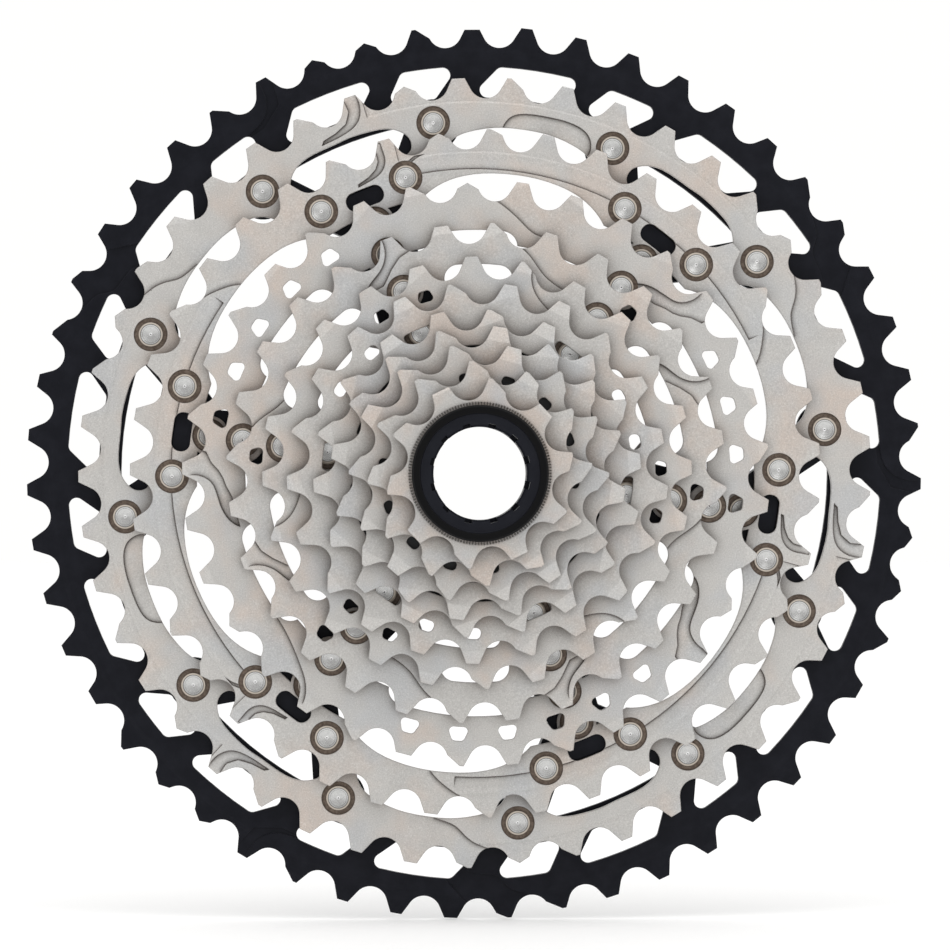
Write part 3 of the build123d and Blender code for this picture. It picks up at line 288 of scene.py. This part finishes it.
def rivet_metal(name, circles, scale):
    """Pressed silver heads: beige rim, a painted shade line along the dish edge, a fainter dark
    ring inside it, a painted highlight and a dark dot at the centre.
    """
    tree = Tree(name)
    radius, angle = tree.polar()
    near = tree.near_rivet(radius, angle, circles[0])
    for circle in circles[1:]:
        near = tree.math("MINIMUM", near, tree.near_rivet(radius, angle, circle))
    near = tree.math("DIVIDE", near, scale)
    grain = tree.noise(1900, 3, 0.6)
    colour = tree.mix(tree.fit(grain, 0.3, 0.7), (0.55, 0.55, 0.545, 1), (0.61, 0.61, 0.60, 1))
    rim = tree.fit(near, *HEAD_RIM)
    colour = tree.mix(rim, colour, (0.56, 0.50, 0.43, 1))
    # Painted shade: a dark line along the dish edge, and a fainter dark ring inside it.
    for middle, width, depth in HEAD_LINES:
        away = tree.math("ABSOLUTE", tree.math("SUBTRACT", near, middle))
        line = tree.math("MULTIPLY", tree.fit(away, width, width * 0.35), depth)
        colour = tree.mix(line, colour, (0.09, 0.085, 0.08, 1))
    outline = tree.fit(near, *HEAD_OUTLINE)
    colour = tree.mix(tree.math("MULTIPLY", outline, 0.6), colour, (0.12, 0.09, 0.07, 1))
    # Painted highlight at the centre of the head, with a dark dot in it.
    colour = tree.mix(tree.fit(near, *CENTRE_GLINT), colour, (0.95, 0.95, 0.95, 1))
    colour = tree.mix(tree.fit(near, *CENTRE_DOT), colour, (0.03, 0.03, 0.03, 1))
    rounded = tree.rounded_normal(0.00008)
    return tree.finish(colour, tree.fit(near, 0.0022, 0.0025, 0.27, 0.42), 0.80,
                       tree.bump(grain, 0.008, 0.00003, rounded))


def plain_steel():
    """Uncoated steel of the washer and pins."""
    tree = Tree("plain_steel")
    grain = tree.noise(1800, 3, 0.6)
    colour = tree.mix(tree.fit(grain, 0.3, 0.7), (0.36, 0.35, 0.34, 1), (0.50, 0.49, 0.47, 1))
    rounded = tree.rounded_normal(0.00015)
    rough = tree.fit(grain, 0.3, 0.7, 0.32, 0.46)
    return tree.finish(colour, rough, 0.95, tree.bump(grain, 0.1, 0.00004, rounded))


def black_plastic():
    """Moulded spacer plastic with a fine spark-eroded texture."""
    tree = Tree("black_plastic")
    grain = tree.noise(2400, 2, 0.5)
    colour = tree.mix(tree.fit(grain, 0.3, 0.7), (0.010, 0.010, 0.011, 1), (0.022, 0.022, 0.024, 1))
    rounded = tree.rounded_normal(0.0002)
    rough = tree.fit(grain, 0.3, 0.7, 0.50, 0.66)
    return tree.finish(colour, rough, 0.0, tree.bump(grain, 0.2, 0.00005, rounded))


def dress(node, material):
    piece = nodes[node]
    piece.data.materials.clear()
    piece.data.materials.append(material)


# ---------------------------------------------------------------- materials on the CAD pieces
for order, teeth in enumerate(STEEL_ROWS):
    name = "satin_steel_" + str(teeth)
    # Strength of the painted shadow and shade on this row, weaker on the 10T.
    painted_shade = 0.45 if teeth == 10 else 1.0
    material = satin_steel(name, RIVET_CIRCLES.get(teeth, []), order * 3.1, painted_shade)
    dress("sprocket_" + str(teeth) + "t", material)

anodised = black_alloy("black_anodised", (0.0045, 0.0050, 0.0085, 1),
                       (0.0085, 0.0092, 0.0140, 1), 0.44)
for node in ("sprocket_51t", "large_carrier", "small_carrier"):
    dress(node, anodised)
dress("lockring", lockring_black())

for row, circles in RIVET_ROWS.items():
    scale = RING_SCALE_24 if row == "24t" else 1.0
    dress("rivets_" + row, rivet_metal("rivet_metal_" + row, circles, scale))

bare = plain_steel()
for node in ("lockring_washer", "sprocket_pins"):
    dress(node, bare)

moulded = black_plastic()
for node in ("spacer_21_18", "spacer_18_16", "spacer_16_14"):
    dress(node, moulded)


# ---------------------------------------------------------------- floor, light and camera
def studio_floor(height):
    """Plain pale floor, faintly luminous so that it stays even and nearly shadowless."""
    mesh = bpy.data.meshes.new("studio_floor")
    corners = ((-1, -1), (1, -1), (1, 1), (-1, 1))
    points = [(FLOOR_HALF * x, FLOOR_HALF * y, height) for x, y in corners]
    mesh.from_pydata(points, [], [(0, 1, 2, 3)])
    piece = bpy.data.objects.new("studio_floor", mesh)
    bpy.context.collection.objects.link(piece)
    tree = Tree("studio_white")
    tree.put((0.70, 0.70, 0.70, 1), tree.shader.inputs["Base Color"])
    tree.put((1, 1, 1, 1), tree.shader.inputs["Emission Color"])
    tree.put(FLOOR_GLOW, tree.shader.inputs["Emission Strength"])
    tree.put(0.9, tree.shader.inputs["Roughness"])
    mesh.materials.append(tree.material)
    return piece


def lamp(name, place, target, width, height, power):
    data = bpy.data.lights.new(name, "AREA")
    data.shape = "RECTANGLE"
    data.size = width
    data.size_y = height
    data.energy = power
    piece = bpy.data.objects.new(name, data)
    piece.location = place
    piece.rotation_euler = (Vector(target) - Vector(place)).to_track_quat("-Z", "Y").to_euler()
    bpy.context.collection.objects.link(piece)


studio_floor(cad_low[2] - 0.0003)
for name, setting in LAMPS.items():
    lamp(name, *setting)

# Bright all round, and half as bright in a cone behind the camera.
world = bpy.data.worlds.new("studio")
world.use_nodes = True
sky = world.node_tree
direction = sky.nodes.new("ShaderNodeTexCoord").outputs["Generated"]
split = sky.nodes.new("ShaderNodeSeparateXYZ")
sky.links.new(direction, split.inputs[0])
shade = sky.nodes.new("ShaderNodeMapRange")
shade.interpolation_type = "SMOOTHSTEP"
shade.inputs["From Min"].default_value = -0.97
shade.inputs["From Max"].default_value = -0.45
shade.inputs["To Min"].default_value = 0.50
shade.inputs["To Max"].default_value = 1.01
sky.links.new(split.outputs["Y"], shade.inputs["Value"])
sky.links.new(shade.outputs[0], sky.nodes["Background"].inputs["Strength"])
sky.nodes["Background"].inputs["Color"].default_value = (1.0, 0.995, 0.985, 1)
bpy.context.scene.world = world

view = bpy.data.cameras.new("photo_camera")
view.lens = CAMERA_LENS
view.sensor_width = 36
view.clip_end = 20
camera = bpy.data.objects.new("photo_camera", view)
camera.location = CAMERA_PLACE
aim = Vector(CAMERA_AIM)
camera.rotation_euler = (aim - camera.location).to_track_quat("-Z", "Y").to_euler()
bpy.context.collection.objects.link(camera)
bpy.context.scene.camera = camera

bpy.context.scene.view_settings.view_transform = "Standard"
bpy.context.scene.view_settings.look = "None"
